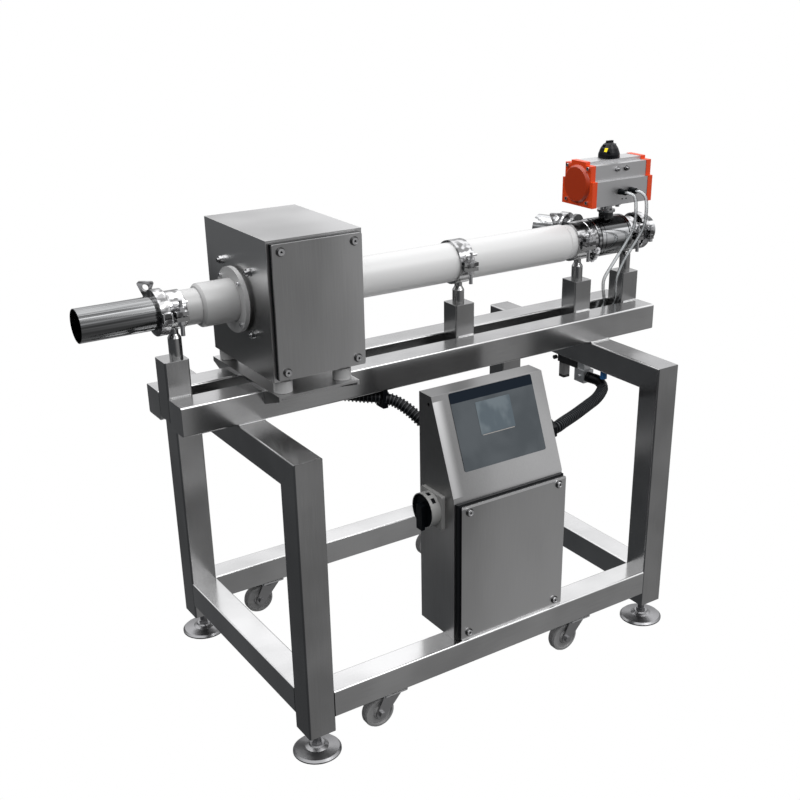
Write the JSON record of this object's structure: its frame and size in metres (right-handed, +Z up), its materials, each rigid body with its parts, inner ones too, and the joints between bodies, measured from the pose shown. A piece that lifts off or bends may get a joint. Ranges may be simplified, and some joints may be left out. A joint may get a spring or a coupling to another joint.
{
  "type": "pipeline metal detector",
  "caption": "Metal detector on a square-tube stand with casters, a long pipe through its head and a three-way reject valve.",
  "frame": {"origin": "centre of the bounding box on the floor", "axes": "+X along the pipeline from inlet to outlet, +Y from the console to the back, +Z up"},
  "size_m": [1.392, 0.657, 1.0914],
  "materials": {
    "satin_steel": "satin stainless",
    "polished_steel": "polished stainless",
    "cast_steel": "blasted stainless",
    "white_plastic": "white acetal",
    "black_rubber": "black rubber",
    "black_plastic": "black plastic",
    "clear_plastic": "clear air tube",
    "wheel_grey": "grey rubber on a plastic hub",
    "anodised": "anodised extrusion",
    "orange": "orange powder coat",
    "dark_metal": "dark coated",
    "membrane": "printed film",
    "copper": "wound copper",
    "board": "circuit board",
    "machined": "machined"
  },
  "bodies": {
    "stand": {"leg_frames": "satin_steel", "base_rails": "satin_steel", "carriage_beams": "satin_steel", "support_posts": "satin_steel", "head_shell": "satin_steel", "head_door": "satin_steel", "door_gaskets": "black_rubber", "socket_screws": "polished_steel", "hex_bolts": "polished_steel", "pipe_flanges": "white_plastic", "detector_coils": "copper", "head_standoffs": "white_plastic", "head_bracket": "satin_steel", "product_pipe": "white_plastic", "steel_spools": "polished_steel", "pipe_seals": "black_rubber", "clamp_upper_halves": "cast_steel", "clamp_lower_halves": "cast_steel", "clamp_bolts": "polished_steel", "support_saddles": "satin_steel", "support_straps": "cast_steel", "valve_body": "polished_steel", "valve_end_caps": "polished_steel", "valve_neck": "satin_steel", "actuator_body": "anodised", "actuator_caps": "orange", "air_fittings": "black_plastic", "left_air_tube": "clear_plastic", "right_air_tube": "clear_plastic", "solenoid_valve": "dark_metal", "junction_box": "dark_metal", "left_conduit": "black_rubber", "right_conduit": "black_rubber", "console_body": "satin_steel", "console_door": "satin_steel", "membrane_panel": "membrane", "isolator_base": "black_plastic", "circuit_boards": "board", "caster_plates": "polished_steel"},
    "valve": {"valve_ball": "polished_steel", "valve_stem": "polished_steel", "pinion": "machined", "position_indicator": "black_plastic"},
    "left_piston": {"left_piston": "machined"},
    "right_piston": {"right_piston": "machined"},
    "isolator_knob": {"isolator_knob": "black_plastic"},
    "inlet_wing_nut": {"inlet_wing_nut": "cast_steel"},
    "reject_wing_nut": {"reject_wing_nut": "cast_steel"},
    "front_left_fork": {"front_left_fork": "cast_steel"},
    "front_left_wheel": {"front_left_wheel": "wheel_grey"},
    "front_left_foot": {"front_left_foot": "polished_steel"},
    "front_right_fork": {"front_right_fork": "cast_steel"},
    "front_right_wheel": {"front_right_wheel": "wheel_grey"},
    "front_right_foot": {"front_right_foot": "polished_steel"},
    "rear_left_fork": {"rear_left_fork": "cast_steel"},
    "rear_left_wheel": {"rear_left_wheel": "wheel_grey"},
    "rear_left_foot": {"rear_left_foot": "polished_steel"},
    "rear_right_fork": {"rear_right_fork": "cast_steel"},
    "rear_right_wheel": {"rear_right_wheel": "wheel_grey"},
    "rear_right_foot": {"rear_right_foot": "polished_steel"}
  },
  "joints": [
    {"name": "front_left_swivel", "type": "hinge", "parent": "stand", "child": "front_left_fork", "pos_m": [-0.235, -0.279, 0.076], "axis": [0, 0, 1], "continuous": true},
    {"name": "front_left_roll", "type": "hinge", "parent": "front_left_fork", "child": "front_left_wheel", "pos_m": [-0.265, -0.279, 0.035], "axis": [0, 1, 0], "continuous": true},
    {"name": "front_left_level", "type": "slide", "parent": "stand", "child": "front_left_foot", "axis": [0, 0, -1], "range_m": [0, 0.025]},
    {"name": "front_right_swivel", "type": "hinge", "parent": "stand", "child": "front_right_fork", "pos_m": [0.266, -0.279, 0.076], "axis": [0, 0, 1], "continuous": true},
    {"name": "front_right_roll", "type": "hinge", "parent": "front_right_fork", "child": "front_right_wheel", "pos_m": [0.236, -0.279, 0.035], "axis": [0, 1, 0], "continuous": true},
    {"name": "front_right_level", "type": "slide", "parent": "stand", "child": "front_right_foot", "axis": [0, 0, -1], "range_m": [0, 0.025]},
    {"name": "rear_left_swivel", "type": "hinge", "parent": "stand", "child": "rear_left_fork", "pos_m": [-0.235, 0.279, 0.076], "axis": [0, 0, 1], "continuous": true},
    {"name": "rear_left_roll", "type": "hinge", "parent": "rear_left_fork", "child": "rear_left_wheel", "pos_m": [-0.265, 0.279, 0.035], "axis": [0, 1, 0], "continuous": true},
    {"name": "rear_left_level", "type": "slide", "parent": "stand", "child": "rear_left_foot", "axis": [0, 0, -1], "range_m": [0, 0.025]},
    {"name": "rear_right_swivel", "type": "hinge", "parent": "stand", "child": "rear_right_fork", "pos_m": [0.266, 0.279, 0.076], "axis": [0, 0, 1], "continuous": true},
    {"name": "rear_right_roll", "type": "hinge", "parent": "rear_right_fork", "child": "rear_right_wheel", "pos_m": [0.236, 0.279, 0.035], "axis": [0, 1, 0], "continuous": true},
    {"name": "rear_right_level", "type": "slide", "parent": "stand", "child": "rear_right_foot", "axis": [0, 0, -1], "range_m": [0, 0.025]},
    {"name": "isolator_turn", "type": "hinge", "parent": "stand", "child": "isolator_knob", "pos_m": [-0.097, -0.221, 0.432], "axis": [1, 0, 0], "range_deg": [0, 90]},
    {"name": "valve_turn", "type": "hinge", "parent": "stand", "child": "valve", "pos_m": [0.562, 0.004, 0.873], "axis": [0, 0, -1], "range_deg": [0, 90]},
    {"name": "left_piston_slide", "type": "slide", "parent": "stand", "child": "left_piston", "axis": [-1, 0, 0], "range_m": [0, 0.02828]},
    {"name": "right_piston_slide", "type": "slide", "parent": "stand", "child": "right_piston", "axis": [1, 0, 0], "range_m": [0, 0.02828]},
    {"name": "inlet_wing_nut_spin", "type": "hinge", "parent": "stand", "child": "inlet_wing_nut", "pos_m": [-0.543, 0.055, 0.883], "axis": [0, 0, 1], "continuous": true},
    {"name": "reject_wing_nut_spin", "type": "hinge", "parent": "stand", "child": "reject_wing_nut", "pos_m": [0.47277, 0.07921, 0.87567], "axis": [0.0478, 0.0213, 0.9986], "continuous": true}
  ],
  "couplings": [
    {"joint": "left_piston_slide", "follows": "valve_turn", "m_per_rad": 0.018},
    {"joint": "right_piston_slide", "follows": "valve_turn", "m_per_rad": 0.018}
  ]
}
